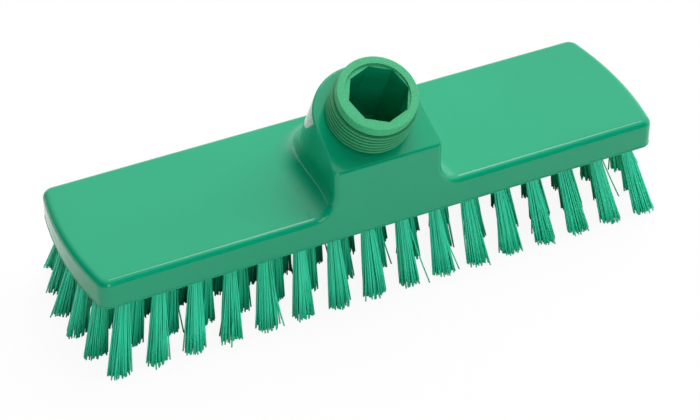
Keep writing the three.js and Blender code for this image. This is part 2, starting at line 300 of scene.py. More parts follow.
def new_material(name):
    """An empty node material, and add_node for its tree."""
    material = bpy.data.materials.new(name)
    material.use_nodes = True
    material.node_tree.nodes.clear()
    return material, partial(add_node, material.node_tree)


def rgba(value):
    return (*value, 1)


def scale_of(*sizes):
    """Scale of a pattern whose features have these sizes in millimetres."""
    return tuple(1 / (size * MM) for size in sizes)


def glossy_polypropylene(colours):
    # Polypropylene, injection moulded in a polished mould: glossy and strongly coloured, with a faint
    # orange peel, slow sink waves that bend reflections, and a slow drift of the colour.
    material, node = new_material("glossy_polypropylene")
    place = node("ShaderNodeTexCoord").outputs["Object"]
    drift = node("ShaderNodeTexNoise", vector=place, scale=1 / (45 * MM), detail=2)
    tint = node(
        "ShaderNodeMix", {"data_type": "RGBA"},
        factor=drift, a=rgba(colours.block), b=rgba(colours.block_deep),
    )
    scuff_place = node("ShaderNodeMapping", vector=place, scale=scale_of(18, 1.2, 4))
    scuffs = node("ShaderNodeTexNoise", vector=scuff_place, scale=1, detail=3, roughness=0.6)
    gloss = node(
        "ShaderNodeMapRange", value=scuffs, from_min=0.35, from_max=0.75, to_min=0.08, to_max=0.13
    )
    sink = node("ShaderNodeTexNoise", vector=place, scale=1 / (14 * MM), detail=1)
    sunk = node("ShaderNodeBump", strength=0.5, distance=0.12 * MM, height=sink)
    peel = node("ShaderNodeTexNoise", vector=place, scale=1 / (1.8 * MM), detail=2)
    skin = node("ShaderNodeBump", strength=0.5, distance=0.004 * MM, height=peel, normal=sunk)
    shader = node("ShaderNodeBsdfPrincipled", base_color=tint, roughness=gloss, ior=1.45, normal=skin)
    node("ShaderNodeOutputMaterial", surface=shader)
    return material


def textured_polypropylene(colours):
    # The same polypropylene off a spark-eroded part of the mould: matte and paler, with a fine even grain.
    # The grain is drawn about twice as coarse as it is, so that it shows. The thread carries painted shade,
    # darker from its crest down into its grooves.
    material, node = new_material("textured_polypropylene")
    place = node("ShaderNodeTexCoord").outputs["Object"]
    grain = node("ShaderNodeTexNoise", vector=place, scale=1 / (0.55 * MM), detail=3, roughness=0.6)
    contrast = node("ShaderNodeMapRange", value=grain, from_min=0.3, from_max=0.7)
    tint = node(
        "ShaderNodeMix", {"data_type": "RGBA"},
        factor=contrast, a=rgba(colours.collar_low), b=rgba(colours.collar),
    )
    # Painted shade: the thread's stored attribute darkens it towards its grooves
    groove = node("ShaderNodeAttribute", {"attribute_name": "groove"}).outputs["Fac"]
    toned = node("ShaderNodeMix", {"data_type": "RGBA"}, factor=groove, a=tint, b=rgba(colours.groove))
    skin = node("ShaderNodeBump", strength=0.7, distance=0.12 * MM, height=grain)
    shader = node("ShaderNodeBsdfPrincipled", base_color=toned, roughness=0.55, ior=1.49, normal=skin)
    node("ShaderNodeOutputMaterial", surface=shader)
    return material


def polyester_filament(colours):
    # Polyester monofilament, extruded and drawn: satin, with thin lines along its length and each filament
    # a little lighter or darker than the next.
    material, node = new_material("polyester_filament")
    place = node("ShaderNodeTexCoord").outputs["Object"]
    shade = node("ShaderNodeAttribute", {"attribute_name": "shade"}).outputs["Fac"]
    tint = node(
        "ShaderNodeMix", {"data_type": "RGBA"},
        factor=shade, a=rgba(colours.filament_deep), b=rgba(colours.filament),
    )
    draw_place = node("ShaderNodeMapping", vector=place, scale=scale_of(0.16, 0.16, 9))
    draw = node("ShaderNodeTexNoise", vector=draw_place, scale=1, detail=1)
    gloss = node("ShaderNodeMapRange", value=draw, to_min=0.28, to_max=0.48)
    skin = node("ShaderNodeBump", strength=0.4, distance=0.02 * MM, height=draw)
    shader = node("ShaderNodeBsdfPrincipled", base_color=tint, roughness=gloss, ior=1.57, normal=skin)
    node("ShaderNodeOutputMaterial", surface=shader)
    return material


def drawn_stainless_wire(colours):
    # Stainless steel wire, drawn and rolled flat: grey metal with fine lines along the wire.
    material, node = new_material("drawn_stainless_wire")
    place = node("ShaderNodeTexCoord").outputs["Object"]
    draw_place = node("ShaderNodeMapping", vector=place, scale=scale_of(6, 0.12, 0.12))
    draw = node("ShaderNodeTexNoise", vector=draw_place, scale=1, detail=2)
    gloss = node("ShaderNodeMapRange", value=draw, to_min=0.22, to_max=0.42)
    skin = node("ShaderNodeBump", strength=0.3, distance=0.01 * MM, height=draw)
    shader = node(
        "ShaderNodeBsdfPrincipled",
        base_color=rgba(colours.wire), metallic=1, roughness=gloss, normal=skin,
    )
    node("ShaderNodeOutputMaterial", surface=shader)
    return material


def pale_floor(colours):
    # Matte pale board. Seen straight it is close to white, with a trace of the shadow.
    material, node = new_material("pale_floor")
    straight = node("ShaderNodeLightPath").outputs["Is Camera Ray"]
    share = node(MATH, "MULTIPLY", straight, FLOOR_WHITE)
    board = node("ShaderNodeBsdfDiffuse", color=rgba(colours.floor))
    glow = node("ShaderNodeEmission", color=(1, 1, 1, 1), strength=1)
    mixed = node("ShaderNodeMixShader", None, share, board, glow)
    node("ShaderNodeOutputMaterial", surface=mixed)
    return material


# Moulded block


class Skin:
    """Faces of one closed piece, gathered patch by patch and welded at the end."""

    def __init__(self):
        self.points = []
        self.faces = []
        self.finishes = []

    def face(self, points, finish=GLOSSY):
        first = len(self.points)
        self.points.extend(points)
        self.faces.append(range(first, len(self.points)))
        self.finishes.append(finish)

    def strip(self, low, high, closed=True, finish=GLOSSY):
        count = len(low)
        for i in range(count if closed else count - 1):
            j = (i + 1) % count
            self.face([low[i], low[j], high[j], high[i]], finish)

    def loft(self, rings, closed=True, finish=GLOSSY):
        for below, above in zip(rings, rings[1:]):
            self.strip(below, above, closed, finish)

    def sheet(self, outline, holes):
        """A flat face with holes, as triangles."""
        loops = [outline, *holes]
        points = [point for loop in loops for point in loop]
        for corners in tessellate_polygon(loops):
            self.face([points[i] for i in corners])

    def mesh(self, name):
        shape = bmesh.new()
        corners = [shape.verts.new(point) for point in self.points]
        for face, finish in zip(self.faces, self.finishes):
            made = shape.faces.new([corners[i] for i in face])
            made.material_index = finish
            made.smooth = True
        bmesh.ops.remove_doubles(shape, verts=shape.verts, dist=WELD)
        bmesh.ops.recalc_face_normals(shape, faces=shape.faces)
        for edge in shape.edges:
            edge.smooth = edge.calc_face_angle(0) < SHARP_ANGLE
        made = bpy.data.meshes.new(name)
        shape.to_mesh(made)
        shape.free()
        return made


def quarter_turn(steps):
    return [math.pi / 2 * i / steps for i in range(steps + 1)]


def arc(centre_x, centre_y, radius, start, end, steps):
    turns = [start + (end - start) * i / steps for i in range(steps + 1)]
    return [(centre_x + radius * math.cos(t), centre_y + radius * math.sin(t)) for t in turns]


class Forms:
    """Places and sizes that the block's patches share, worked out from the settings."""

    def __init__(self, settings):
        block, socket = settings.block, settings.socket
        self.block, self.socket = block, socket
        self.front = -block.front
        self.top = block.underside + block.thickness
        self.bore_corner = socket.bore_across_flats / 2 / math.cos(math.pi / BORE_SIDES)
        self.band = self.bore_corner + socket.collar_wall
        self.crest = self.band + socket.thread_height
        self.root = self.crest - socket.thread_depth
        self.hub_half = self.crest + socket.hub_side_ledge
        self.foot_x = self.hub_half + socket.hub_fillet
        setback = socket.hub_front_ledge + self.crest
        self.foot_y = self.front + setback * math.cos(socket.tilt)
        self.foot_z = self.top + socket.hub_front_height + setback * math.sin(socket.tilt)
        foot = Matrix.Translation((0, self.foot_y, self.foot_z))
        self.frame = foot @ Matrix.Rotation(socket.tilt, 4, "X")
        self.collar_frame = Matrix.Translation((-socket.collar_shift, 0, 0)) @ self.frame
        self.turns = quarter_turn(EDGE_STEPS)
        flare_length = socket.hub_flare_reach - block.top_edge
        flare_start = self.front + block.top_edge
        self.flare_places = [
            flare_start + flare_length * (i + 1) / FLARE_STEPS for i in range(FLARE_STEPS)
        ]

    def depth(self, turn):
        return self.block.top_edge * (1 - math.sin(turn))

    def inset(self, turn):
        return self.block.top_edge * (1 - math.cos(turn))

    def flare(self, y):
        """How far the hub's walls stand out near its front corners."""
        return self.socket.hub_flare * max(0, 1 - (y - self.front) / self.socket.hub_flare_reach) ** 2

    def path(self, inset, z):
        """Outline of the block from the hub's right foot, round the back, to its left foot."""
        block = self.block
        half_width = (block.front + block.back) / 2
        middle = (block.back - block.front) / 2
        end_radius = (half_width**2 + block.end_bow**2) / (2 * block.end_bow)
        end_centre = block.length / 2 - end_radius
        corner_y = half_width - block.corner_radius
        reach = math.sqrt((end_radius - block.corner_radius) ** 2 - corner_y**2)
        corner_x = end_centre + reach
        turn = math.atan2(corner_y, reach)
        round_radius = block.corner_radius - inset
        right = arc(corner_x, middle - corner_y, round_radius, -math.pi / 2, -turn, CORNER_STEPS)
        right += arc(end_centre, middle, end_radius - inset, -turn, turn, END_STEPS)[1:-1]
        right += arc(corner_x, middle + corner_y, round_radius, turn, math.pi / 2, CORNER_STEPS)
        left = [(-x, y) for x, y in reversed(right)]
        y = self.front + inset
        x = self.foot_x + self.flare(y)
        return [Vector((*point, z)) for point in [(x, y), *right, *left, (-x, y)]]

    def half_width(self, height, depth):
        """Half width of the hub along its hollow fillet, a depth inside the surface."""
        fillet = self.socket.hub_fillet
        if height >= fillet:
            return self.hub_half - depth
        reach = math.sqrt(max(0, (fillet + depth) ** 2 - (fillet - height) ** 2))
        return self.foot_x - reach

    def back_fillet(self, height):
        """How far the fillet stands out behind the hub, where the wall leans forwards."""
        fillet, tilt = self.socket.hub_back_fillet, self.socket.tilt
        if height >= fillet * (1 - math.sin(tilt)):
            return 0
        reach = fillet * math.tan((math.pi / 2 - tilt) / 2)
        edge = reach - math.sqrt(max(0, fillet**2 - (fillet - height) ** 2))
        return max(0, edge + height * math.tan(tilt))

    def corner(self, height, turns):
        """Points round the hub's right front edge at a height over the block's top."""
        points = []
        for turn in turns:
            y = self.front + self.inset(turn)
            x = self.half_width(height, self.depth(turn)) + self.flare(y)
            points.append(Vector((x, y, self.top + height)))
        return points

    def level(self, height):
        """Level section through the hub with its fillet, from its right front edge round the back."""
        tilt = self.socket.tilt
        z = self.top + height
        axis_y = self.foot_y - math.tan(tilt) * (z - self.foot_z)
        side = self.half_width(height, 0) - self.hub_half
        back = self.back_fillet(height)
        right = self.corner(height, self.turns)
        right += [Vector((self.half_width(height, 0) + self.flare(y), y, z)) for y in self.flare_places]
        for turn in quarter_turn(HUB_BACK_STEPS // 2):
            share = math.sin(turn) ** 2
            out = Vector((math.cos(turn), math.sin(turn) * math.cos(tilt))).normalized()
            out *= (1 - share) * side + share * back
            x = self.hub_half * math.cos(turn) + out.x
            y = axis_y + self.hub_half / math.cos(tilt) * math.sin(turn) + out.y
            right.append(Vector((x, y, z)))
        return right + mirrored(right[:-1])

    def rim(self, turn):
        """Section of the hub's rounded rim, from the middle of its front edge right round."""
        inset = self.socket.hub_rim * (1 - math.cos(turn))
        depth = self.socket.hub_rim * (1 - math.sin(turn))
        radius = self.hub_half - inset
        round_radius = self.block.top_edge - inset
        round_x = self.hub_half - self.block.top_edge
        round_y = self.front + self.block.top_edge
        corner = [
            (round_x + round_radius * math.sin(t), round_y - round_radius * math.cos(t)) for t in self.turns
        ]
        wall = [(radius, y) for y in self.flare_places]
        edge = [(0, self.front + inset)] + [(x + self.flare(y), y) for x, y in corner + wall]
        right = []
        for x, y in edge:
            rise = (y - self.foot_y) * math.sin(self.socket.tilt) - depth
            right.append(Vector((x, y, self.foot_z + rise / math.cos(self.socket.tilt))))
        for t in quarter_turn(HUB_BACK_STEPS // 2):
            right.append(self.frame @ Vector((radius * math.cos(t), radius * math.sin(t), -depth)))
        return right + mirrored(right[1:-1])

    def circle(self, radius, height, sides=None):
        """Ring about the collar's axis, from the front. With sides, a polygon about the bore's axis."""
        ring = []
        place = self.frame if sides else self.collar_frame
        for i in range(COLLAR_STEPS):
            turn = 2 * math.pi * i / COLLAR_STEPS - math.pi / 2
            reach = radius
            if sides:
                off_flat = (turn + self.socket.bore_turn) % (2 * math.pi / sides) - math.pi / sides
                reach = radius * math.cos(math.pi / sides) / math.cos(off_flat)
            ring.append(place @ Vector((reach * math.cos(turn), reach * math.sin(turn), height)))
        return ring


def mirrored(points):
    """The points' mirror images across the middle, in the opposite order."""
    return [Vector((-p.x, p.y, p.z)) for p in reversed(points)]


def tuft_roots(tufts, z):
    """Places of the tufts on the block's underside, row by row."""
    rows = []
    pitch = 2 * tufts.outer_row / (len(tufts.row_counts) - 1)
    for row, count in enumerate(tufts.row_counts):
        y = -tufts.outer_row + row * pitch
        end = tufts.middle_row_end - tufts.field_end_bow * (y / tufts.outer_row) ** 2
        rows.append([Vector((end * (2 * i / (count - 1) - 1), y, z)) for i in range(count)])
    return rows


def tuft_slope(tufts, root):
    """Sideways travel of a tuft for each metre down."""
    return Vector((
        math.tan(tufts.lean_at_ends * root.x / tufts.middle_row_end),
        math.tan(tufts.lean_at_sides * root.y / tufts.outer_row),
        -1,
    ))


def add_slab(skin, forms, tufts):
    """Underside with its tuft holes, sides with the parting lip, rounded upper edge and flat top."""
    block = forms.block
    low = block.underside
    under = forms.path(block.bottom_edge, low)
    mouths = []
    for root in (root for row in tuft_roots(tufts, low) for root in row):
        round_mouth = arc(root.x, root.y, tufts.hole_radius, 0, 2 * math.pi, HOLE_STEPS)[:-1]
        mouth = [Vector((*point, low)) for point in round_mouth]
        lift = tuft_slope(tufts, root) * -tufts.hole_depth
        end = [point + lift for point in mouth]
        skin.strip(mouth, end)
        skin.face(end)
        mouths.append(mouth)
    skin.sheet(under, mouths)
    lip = low + block.lip_height
    levels = [
        (block.bottom_edge, low),
        (0, low + block.bottom_edge),
        (0, lip - block.lip_reach),
        (-block.lip_reach, lip),
        (0, lip + block.lip_reach),
    ]
    rings = [forms.path(inset, z) for inset, z in levels]
    skin.loft(rings)
    edge = [rings[-1]] + [forms.path(forms.inset(t), forms.top - forms.depth(t)) for t in forms.turns]
    skin.loft(edge, closed=False)
    foot = forms.level(0)[EDGE_STEPS + 1 : -EDGE_STEPS - 1]
    skin.face(edge[-1] + foot[::-1])
    return rings[-1]


def add_hub(skin, forms, front_low):
    """Hub with its front face, rounded front edges that run into the block's upper edge, fillet and rim."""
    corners = [forms.corner(-forms.depth(t), forms.turns[: j + 1]) for j, t in enumerate(forms.turns)]
    for row, after in zip(corners, corners[1:]):
        for points in (row, after), (mirrored(row)[::-1], mirrored(after)[::-1]):
            below, above = points
            skin.strip(below, above[: len(below)], closed=False)
            skin.face([below[-1], above[-1], above[-2]])
    heights = [forms.socket.hub_fillet * (1 - math.cos(t)) for t in quarter_turn(FILLET_STEPS)]
    levels = [forms.level(height) for height in heights]
    skin.loft(levels, closed=False)
    rims = [forms.rim(t) for t in forms.turns]
    skin.strip(levels[-1], rims[0][1:], closed=False)
    skin.loft(rims)
    right = [row[0] for row in corners[:-1]] + [level[0] for level in levels] + [rims[0][1]]
    skin.face([front_low[-1], front_low[0], *right, rims[0][0], *mirrored(right)])
    foot = forms.circle(forms.root, 0)
    half, middle = COLLAR_STEPS // 2, len(rims[-1]) // 2
    edge = rims[-1]
    skin.face(edge[: middle + 1] + foot[half::-1])
    skin.face(edge[middle:] + edge[:1] + foot[:1] + foot[: half - 1 : -1])


def add_socket(skin, forms):
    """Collar up to its end face, the round relief at the mouth and the octagonal bore."""
    socket = forms.socket
    end = socket.collar_height
    chamfer = end - socket.collar_lead
    mouth = forms.bore_corner + socket.mouth_step
    step = chamfer - socket.collar_band
    rings = [
        forms.circle(forms.root, 0),
        forms.circle(forms.root, step - (forms.band - forms.root)),
        forms.circle(forms.band, step),
    ]
    for turn in quarter_turn(LEAD_STEPS):
        inset = socket.collar_lead * (1 - math.cos(turn))
        rings.append(forms.circle(forms.band - inset, chamfer + socket.collar_lead * math.sin(turn)))
    rings.append(forms.circle(mouth, end))
    rings.append(forms.circle(mouth, end - socket.mouth_depth))
    # Between the ridges the block's glossy material, deeper in colour: painted shade at the groove bottoms
    skin.strip(rings[0], rings[1])
    skin.loft(rings[1:], finish=TEXTURED)
    bore = [
        forms.circle(forms.bore_corner, end - socket.mouth_depth, BORE_SIDES),
        forms.circle(forms.bore_corner, -socket.bore_bottom, BORE_SIDES),
    ]
    skin.strip(rings[-1], bore[0], finish=TEXTURED)
    skin.strip(*bore)
    skin.face(bore[-1])


def smooth_normals(piece):
    """Lets the large flat faces lead the shading next to rounded edges, and keeps the result in the mesh."""
    weighting = piece.modifiers.new("Flat faces lead", "WEIGHTED_NORMAL")
    weighting.mode = "FACE_AREA"
    weighting.keep_sharp = True
    keep_result(piece)


def keep_result(piece):
    """Replaces a piece's mesh by what its modifiers make of it."""
    graph = bpy.context.evaluated_depsgraph_get()
    made = bpy.data.meshes.new_from_object(
        piece.evaluated_get(graph), preserve_all_data_layers=True, depsgraph=graph
    )
    made.name = piece.name
    piece.modifiers.clear()
    piece.data = made


def new_object(name, data):
    made = bpy.data.objects.new(name, data)
    bpy.context.scene.collection.objects.link(made)
    return made


class SCRUBBRUSH_OT_moulded_block(bpy.types.Operator):
    """Make the moulded block with its hub, collar, bore and tuft holes"""

    bl_idname = "scrub_brush.moulded_block"
    bl_label = "Moulded Block"

    def execute(self, context):
        settings = context.scene.scrub_brush
        forms = Forms(settings)
        skin = Skin()
        front_low = add_slab(skin, forms, settings.tufts)
        add_hub(skin, forms, front_low)
        add_socket(skin, forms)
        piece = new_object("moulded_block", skin.mesh("moulded_block"))
        piece.data.materials.append(glossy_polypropylene(settings.colours))
        piece.data.materials.append(textured_polypropylene(settings.colours))
        smooth_normals(piece)
        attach(piece, BODY)
        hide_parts("brush_block")
        return {"FINISHED"}


# Geometry Nodes


def new_tree(name, values):
    """A Geometry Nodes tree with a named input for each value, add_node for it, and its inputs' sockets."""
    tree = bpy.data.node_groups.new(name, "GeometryNodeTree")
    tree.is_modifier = True
    tree.interface.new_socket("Geometry", in_out="INPUT", socket_type="NodeSocketGeometry")
    for label, value in values.items():
        tree.interface.new_socket(label, in_out="INPUT", socket_type=SOCKET_TYPES[type(value)])
    tree.interface.new_socket("Geometry", in_out="OUTPUT", socket_type="NodeSocketGeometry")
    node = partial(add_node, tree)
    return tree, node, node("NodeGroupInput").outputs


def grow(piece, tree, values):
    """Runs a tree on a piece with these input values, and keeps the result as a plain mesh."""
    modifier = piece.modifiers.new(tree.name, "NODES")
    modifier.node_group = tree
    sockets = {item.name: item.identifier for item in tree.interface.items_tree if item.in_out == "INPUT"}
    for label, value in values.items():
        modifier[sockets[label]] = value
    keep_result(piece)


def thread_tree(values):
    """One ridge wound round the collar, right-handed, sinking away at both ends."""
    tree, node, given = new_tree("Collar Thread", values)
    rise = node(MATH, "MULTIPLY", given["Pitch"], given["Turns"])
    helix = node(
        "GeometryNodeCurveSpiral", resolution=TURN_STEPS, rotations=given["Turns"], reverse=True,
        start_radius=given["Line Radius"], end_radius=given["Line Radius"], height=rise,
    )

    # The ridge shrinks and sinks into the collar near its ends
    along = node("GeometryNodeSplineParameter").outputs["Factor"]
    back = node(MATH, "SUBTRACT", 1, along)
    nearest = node(MATH, "MINIMUM", along, back)
    fade = node(
        "ShaderNodeMapRange", {"interpolation_type": "SMOOTHSTEP"},
        value=nearest, from_max=given["Fade"], to_min=THREAD_END, to_max=1,
    )
    faded = node("GeometryNodeSetCurveRadius", curve=helix, radius=fade)
    place = node("GeometryNodeInputPosition")
    level = node(VECTOR_MATH, "MULTIPLY", place, (1, 1, 0))
    outward = node(VECTOR_MATH, "NORMALIZE", level)
    lost = node(MATH, "SUBTRACT", fade, 1)
    depth = node(MATH, "MULTIPLY", lost, given["Ridge Height"])
    sink = node(VECTOR_MATH, "SCALE", outward, depth)
    settled = node("GeometryNodeSetPosition", geometry=faded, offset=sink)

    # Its section is a trapezium with rounded edges, its crest turned outwards
    section = node(
        "GeometryNodeCurvePrimitiveQuadrilateral", {"mode": "TRAPEZOID"},
        height=given["Ridge Height"], bottom_width=given["Ridge Foot"],
        top_width=given["Ridge Crest"], offset=0,
    )
    rounded = node(
        "GeometryNodeFilletCurve", {"mode": "POLY"},
        curve=section, count=RIDGE_EDGE_STEPS, radius=given["Ridge Edge"],
    )
    facing = node("GeometryNodeTransform", geometry=rounded, rotation=(0, 0, math.radians(-90)))
    upright = node("GeometryNodeSetCurveNormal", {"mode": "Z_UP"}, curve=settled)
    ridge = node("GeometryNodeCurveToMesh", curve=upright, profile_curve=facing, fill_caps=True)

    # Painted shade: the colour darkens from the crest down the flanks into the grooves
    crest = node(MATH, "MULTIPLY_ADD", given["Ridge Height"], 0.5, given["Line Radius"])
    reach = node(VECTOR_MATH, "LENGTH", level)
    groove = node(
        "ShaderNodeMapRange",
        value=reach, from_min=given["Line Radius"], from_max=crest, to_min=1, to_max=CREST_TONE,
    )
    toned = node(
        "GeometryNodeStoreNamedAttribute", {"data_type": "FLOAT", "domain": "POINT"},
        geometry=ridge, name="groove", value=groove,
    )
    lift = node(COMBINE, z=given["Start"])
    raised = node("GeometryNodeTransform", geometry=toned, translation=lift)
    lean = node(COMBINE, x=given["Tilt"])
    seated = node("GeometryNodeTransform", geometry=raised, translation=given["Foot"], rotation=lean)
    smooth = node("GeometryNodeSetShadeSmooth", geometry=seated)
    whole = node("GeometryNodeRealizeInstances", geometry=smooth)
    finished = node("GeometryNodeSetMaterial", geometry=whole, material=given["Material"])
    node("NodeGroupOutput", geometry=finished)
    return tree


class SCRUBBRUSH_OT_collar_thread(bpy.types.Operator):
    """Wind the handle thread round the collar"""

    bl_idname = "scrub_brush.collar_thread"
    bl_label = "Collar Thread"

    def execute(self, context):
        settings = context.scene.scrub_brush
        socket = settings.socket
        forms = Forms(settings)
        height = socket.thread_depth + THREAD_SINK
        piece = new_object("collar_thread", bpy.data.meshes.new("collar_thread"))
        values = {
            "Line Radius": forms.crest - height / 2,
            "Ridge Height": height,
            "Ridge Foot": socket.thread_foot,
            "Ridge Crest": socket.thread_crest,
            "Ridge Edge": THREAD_EDGE,
            "Pitch": socket.thread_pitch,
            "Turns": socket.thread_turns,
            "Fade": THREAD_FADE,
            "Start": socket.thread_start,
            "Foot": (-socket.collar_shift, forms.foot_y, forms.foot_z),
            "Tilt": socket.tilt,
            "Material": bpy.data.materials["textured_polypropylene"],
        }
        grow(piece, thread_tree(values), values)
        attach(piece, BODY)
        return {"FINISHED"}


def tuft_tree(values):
    """Bundles of filaments from their holes to the floor, one bundle on each vertex."""
    tree, node, given = new_tree("Bristle Tufts", values)

    # Slope of each bundle from its place on the underside
    roots = node("GeometryNodeMeshToPoints", mesh=given["Geometry"])
    bundle = node(
        "GeometryNodeDuplicateElements", {"domain": "POINT"}, geometry=roots, amount=given["Filaments"]
    )
    number = bundle.outputs["Duplicate Index"]
    place = node("GeometryNodeInputPosition")
    spans = node(COMBINE, None, given["Middle Row End"], given["Outer Row"], 1)
    leans = node(COMBINE, None, given["Lean At Ends"], given["Lean At Sides"], 0)
    share = node(VECTOR_MATH, "DIVIDE", place, spans)
    lean = node(VECTOR_MATH, "MULTIPLY", share, leans)
    sideways = node(VECTOR_MATH, "TANGENT", lean)
    slope = node(VECTOR_MATH, "ADD", sideways, (0, 0, -1))

    # Each filament's place in the bundle's round section
    order = node(MATH, "ADD", number, 0.5)
    filled = node(MATH, "DIVIDE", order, given["Filaments"])
    reach = node(MATH, "SQRT", filled)
    turn = node(MATH, "MULTIPLY", number, GOLDEN_ANGLE)
    arm = node(COMBINE, x=reach)
    section = node("ShaderNodeVectorRotate", {"rotation_type": "Z_AXIS"}, vector=arm, angle=turn)
    root_drop = node(MATH, "SUBTRACT", given["Underside"], given["Root Height"])
    root_middle = node(VECTOR_MATH, "MULTIPLY_ADD", slope, root_drop, place)
    root = node(VECTOR_MATH, "MULTIPLY_ADD", section, given["Root Spread"], root_middle)

    # Small differences: two sideways shares from -1 to 1 and one share from 0 to 1, three times over
    seeds = [node(MATH, "ADD", given["Seed"], i) for i in range(4)]
    chances = [
        node(
            "FunctionNodeRandomValue", {"data_type": "FLOAT_VECTOR"},
            min=(-1, -1, 0), max=(1, 1, 1), seed=seed,
        )
        for seed in seeds[:3]
    ]
    trim = node("ShaderNodeSeparateXYZ", vector=chances[0]).outputs["Z"]
    shade = node("ShaderNodeSeparateXYZ", vector=chances[1]).outputs["Z"]

    # Each filament's trimmed tip
    cut = node(MATH, "POWER", trim, TRIM_BIAS)
    tip_height = node(MATH, "MULTIPLY", cut, given["Unevenness"])
    tip_drop = node(MATH, "SUBTRACT", given["Underside"], tip_height)
    tip_middle = node(VECTOR_MATH, "MULTIPLY_ADD", slope, tip_drop, place)
    tip_fan = node(VECTOR_MATH, "MULTIPLY_ADD", section, given["Tip Spread"], tip_middle)
    jitter = node(COMBINE, x=given["Tip Jitter"], y=given["Tip Jitter"])
    tip = node(VECTOR_MATH, "MULTIPLY_ADD", chances[0], jitter, tip_fan)

    # Few filaments stand out of the bundle, and all bend a little
    strays = node(
        "FunctionNodeRandomValue", {"data_type": "BOOLEAN"},
        probability=given["Stray Share"], seed=seeds[3],
    )
    stray_reach = node(MATH, "MULTIPLY", strays, given["Stray Reach"])
    stray_span = node(COMBINE, x=stray_reach, y=stray_reach)
    stray = node(VECTOR_MATH, "MULTIPLY", chances[1], stray_span)
    bow_span = node(COMBINE, x=given["Bow"], y=given["Bow"])
    bow = node(VECTOR_MATH, "MULTIPLY", chances[2], bow_span)

    points = bundle.outputs["Geometry"]
    for label, kind, value in (
        ("root", "FLOAT_VECTOR", root), ("tip", "FLOAT_VECTOR", tip), ("stray", "FLOAT_VECTOR", stray),
        ("bow", "FLOAT_VECTOR", bow), ("shade", "FLOAT", shade),
    ):
        points = node(
            "GeometryNodeStoreNamedAttribute", {"data_type": kind, "domain": "POINT"},
            geometry=points, name=label, value=value,
        ).outputs["Geometry"]
    middle = node(VECTOR_MATH, "SCALE", place, 0)
    points = node("GeometryNodeSetPosition", geometry=points, position=middle)
    radius = node(MATH, "DIVIDE", given["Filament Diameter"], 2)
    rod = node(
        "GeometryNodeMeshCylinder", {"fill_type": "NGON"},
        vertices=ROD_SIDES, side_segments=ROD_STEPS, radius=radius, depth=1,
    )
    smooth_rod = node(
        "GeometryNodeSetShadeSmooth", geometry=rod.outputs["Mesh"], selection=rod.outputs["Side"]
    )
    rods = node("GeometryNodeInstanceOnPoints", points=points, instance=smooth_rod)
    whole = node("GeometryNodeRealizeInstances", geometry=rods)

    # The rods' own section stays level, so each tip is cut flat
    stored = {
        label: node("GeometryNodeInputNamedAttribute", {"data_type": "FLOAT_VECTOR"}, name=label)
        for label in ("root", "tip", "stray", "bow")
    }
    local = node("ShaderNodeSeparateXYZ", vector=place)
    down = node(MATH, "SUBTRACT", 0.5, local.outputs["Z"])
    line = node(
        "ShaderNodeMix", {"data_type": "VECTOR"}, factor=down, a=stored["root"], b=stored["tip"]
    )
    rim = node(COMBINE, x=local.outputs["X"], y=local.outputs["Y"])
    shape = node(VECTOR_MATH, "ADD", line, rim)
    half_turn = node(MATH, "MULTIPLY", down, math.pi)
    bend = node(MATH, "SINE", half_turn)
    bent = node(VECTOR_MATH, "MULTIPLY_ADD", stored["bow"], bend, shape)
    late = node(MATH, "POWER", down, 2)
    final = node(VECTOR_MATH, "MULTIPLY_ADD", stored["stray"], late, bent)
    grown = node("GeometryNodeSetPosition", geometry=whole, position=final)
    for label in stored:
        grown = node("GeometryNodeRemoveAttribute", geometry=grown, name=label)
    finished = node("GeometryNodeSetMaterial", geometry=grown, material=given["Material"])
    node("NodeGroupOutput", geometry=finished)
    return tree


class SCRUBBRUSH_OT_tuft_rows(bpy.types.Operator):
    """Make the rows of bristle tufts, two rows to a piece"""

    bl_idname = "scrub_brush.tuft_rows"
    bl_label = "Tuft Rows"

    def execute(self, context):
        settings = context.scene.scrub_brush
        tufts = settings.tufts
        low = settings.block.underside
        rows = tuft_roots(tufts, low)
        keys = (
            "filaments", "filament_diameter", "root_spread", "tip_jitter", "unevenness", "stray_share",
            "stray_reach", "bow", "lean_at_ends", "lean_at_sides", "middle_row_end", "outer_row", "seed",
        )
        values = {key.replace("_", " ").title(): getattr(tufts, key) for key in keys}
        values["Tip Spread"] = (tufts.tip_spread, tufts.tip_depth, 0)
        values["Underside"] = low
        values["Root Height"] = low + tufts.hole_depth - ROOT_GAP
        values["Material"] = polyester_filament(settings.colours)
        tree = tuft_tree(values)
        for i, place in enumerate(("front", "middle", "back")):
            name = f"{place}_tuft_rows"
            mesh = bpy.data.meshes.new(name)
            mesh.from_pydata(rows[2 * i] + rows[2 * i + 1], [], [])
            piece = new_object(name, mesh)
            grow(piece, tree, values | {"Seed": tufts.seed + SEED_STEP * i})
            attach(piece, BODY)
            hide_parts(f"{place}_bristle_rows")
        return {"FINISHED"}


